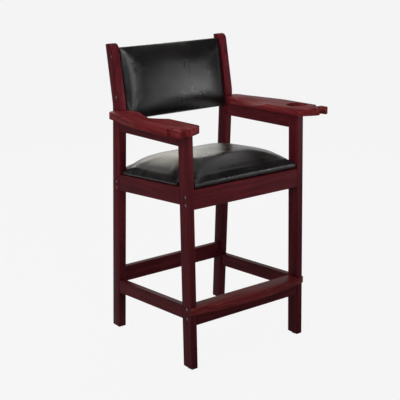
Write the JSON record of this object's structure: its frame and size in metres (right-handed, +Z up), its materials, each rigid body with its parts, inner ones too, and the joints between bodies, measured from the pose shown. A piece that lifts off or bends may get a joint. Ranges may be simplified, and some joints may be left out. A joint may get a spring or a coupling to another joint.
{
  "type": "billiard spectator chair",
  "caption": "Bar-height wooden spectator armchair for a billiard room: padded seat and back, arm boards with cue notches and a cup recess, and a bowed footrest.",
  "frame": {"origin": "centre of the footprint's bounding box, on the floor", "axes": "+Z up, -Y towards the front of the chair, +X towards the sitter's left"},
  "size_m": [0.732, 0.5842, 1.1838],
  "materials": {
    "mahogany": "mahogany stain under semi-gloss lacquer",
    "pale_hardwood": "unfinished hardwood",
    "plywood": "raw plywood",
    "leatherette": "black grained leatherette, soft sheen",
    "dust_cloth": "black non-woven cloth",
    "steel": "zinc-plated, satin",
    "nylon": "moulded black nylon"
  },
  "bodies": {
    "root": {"arm_left": "mahogany", "arm_rail_left": "mahogany", "arm_rail_right": "mahogany", "arm_right": "mahogany", "arm_screw_front_left": "steel", "arm_screw_front_right": "steel", "arm_screw_rear_left": "steel", "arm_screw_rear_right": "steel", "back_board": "plywood", "back_bolt_left_lower": "steel", "back_bolt_left_upper": "steel", "back_bolt_right_lower": "steel", "back_bolt_right_upper": "steel", "back_cushion": "leatherette", "back_shell": "leatherette", "corner_block_front_left": "pale_hardwood", "corner_block_front_right": "pale_hardwood", "corner_block_rear_left": "pale_hardwood", "corner_block_rear_right": "pale_hardwood", "dust_cover": "dust_cloth", "floor_glide_front_left": "nylon", "floor_glide_front_right": "nylon", "floor_glide_rear_left": "nylon", "floor_glide_rear_right": "nylon", "footrest_board": "mahogany", "footrest_bolt_left_lower": "steel", "footrest_bolt_left_upper": "steel", "footrest_bolt_right_lower": "steel", "footrest_bolt_right_upper": "steel", "footrest_rail": "mahogany", "footrest_screw_left": "steel", "footrest_screw_right": "steel", "front_leg_left": "mahogany", "front_leg_right": "mahogany", "rear_post_left": "mahogany", "rear_post_right": "mahogany", "seat_board": "plywood", "seat_cushion": "leatherette", "seat_rail_bolt_front_left_lower": "steel", "seat_rail_bolt_front_left_upper": "steel", "seat_rail_bolt_front_right_lower": "steel", "seat_rail_bolt_front_right_upper": "steel", "seat_rail_bolt_rear_left_lower": "steel", "seat_rail_bolt_rear_left_upper": "steel", "seat_rail_bolt_rear_right_lower": "steel", "seat_rail_bolt_rear_right_upper": "steel", "seat_rail_front": "mahogany", "seat_rail_left": "mahogany", "seat_rail_rear": "mahogany", "seat_rail_right": "mahogany", "seat_screw_front_left": "steel", "seat_screw_front_right": "steel", "seat_screw_rear_left": "steel", "seat_screw_rear_right": "steel", "stretcher_left": "mahogany", "stretcher_rear": "mahogany", "stretcher_right": "mahogany"}
  },
  "joints": []
}
